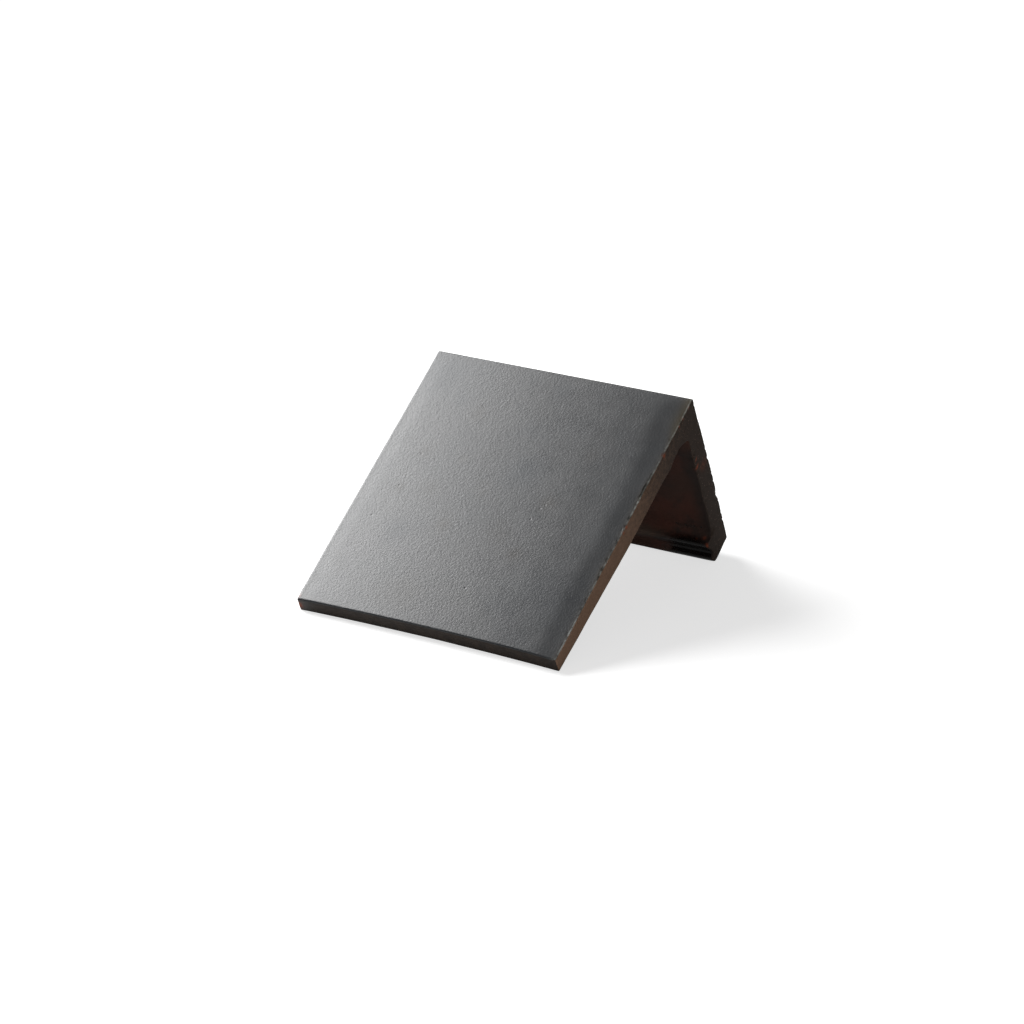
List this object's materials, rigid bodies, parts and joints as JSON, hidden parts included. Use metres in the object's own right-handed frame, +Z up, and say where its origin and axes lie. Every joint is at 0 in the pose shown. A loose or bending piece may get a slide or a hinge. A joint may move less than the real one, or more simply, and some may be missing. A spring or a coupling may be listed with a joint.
{
  "type": "angle ridge tile",
  "caption": "Glazed clay angle ridge tile with a long and a short leg, an open hollow below and a thick lip inside the short leg's foot.",
  "frame": {"origin": "on the floor under the middle of the tile's bounding box, with the tile standing on the inner edges of its two feet", "axes": "+Y along the ridge, +X from the long leg towards the short leg, +Z up"},
  "size_m": [0.2878, 0.25, 0.1607],
  "materials": {
    "glazed_clay": "satin"
  },
  "bodies": {
    "root": {"ridge_tile": "glazed_clay"}
  },
  "joints": []
}
